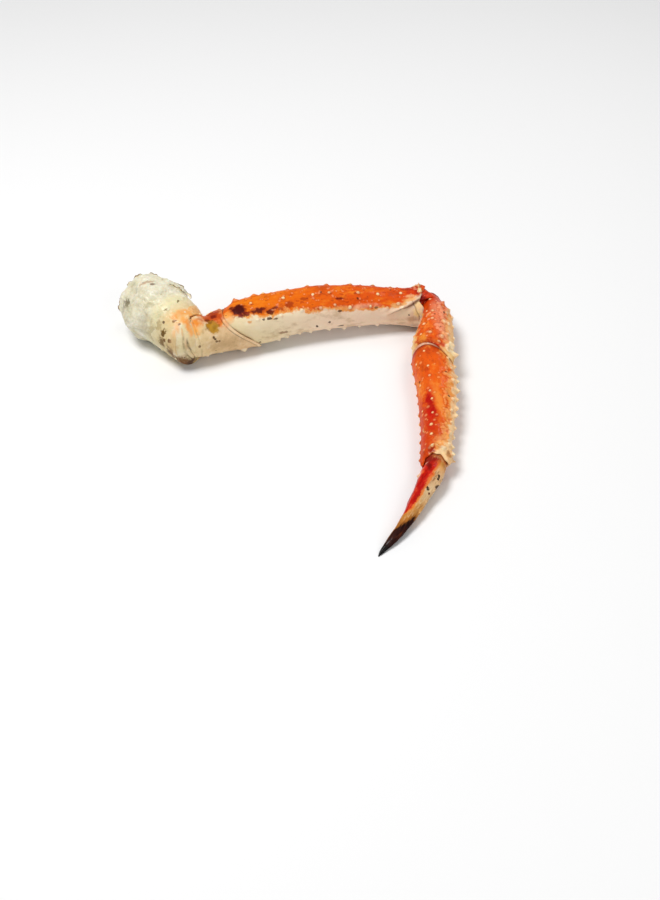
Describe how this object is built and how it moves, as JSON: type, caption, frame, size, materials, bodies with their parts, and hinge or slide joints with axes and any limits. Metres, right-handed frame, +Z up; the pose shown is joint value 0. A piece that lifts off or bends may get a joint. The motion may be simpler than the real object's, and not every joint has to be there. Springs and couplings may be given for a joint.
{
  "type": "king crab leg",
  "caption": "Cooked king crab walking leg lying bent at the knee, with its fleshy body end, spiny shell segments, soft joint skins and a dark pointed claw tip.",
  "frame": {"origin": "centre of the leg's footprint, on the surface it lies on", "axes": "+Z up from the surface; +X along the merus, from the body end towards the knee; +Y from the claw tip back towards the merus"},
  "size_m": [0.3051, 0.3466, 0.0611],
  "materials": {
    "shoulder_skin": "soft moist off-white skin over meat, with thin folds",
    "coxa_shell": "smooth cream shell with orange strokes",
    "ischium_shell": "cream and orange shell with dark red stains",
    "merus_shell": "glossy orange-red shell above, creamy below, small cream-tipped spines",
    "carpus_shell": "glossy orange shell with cream spines",
    "propodus_shell": "glossy orange shell with cream spines",
    "dactyl_shell": "red and tan claw with a near-black point",
    "joint_skin": "thin wrinkled pinkish skin between the shells"
  },
  "bodies": {
    "root": {"shoulder": "shoulder_skin", "coxa": "coxa_shell", "ischium": "ischium_shell", "merus": "merus_shell", "carpus": "carpus_shell", "propodus": "propodus_shell", "dactyl": "dactyl_shell", "coxa_membrane": "joint_skin", "ischium_membrane": "joint_skin", "knee_membrane": "joint_skin", "carpus_membrane": "joint_skin", "dactyl_membrane": "joint_skin"}
  },
  "joints": []
}
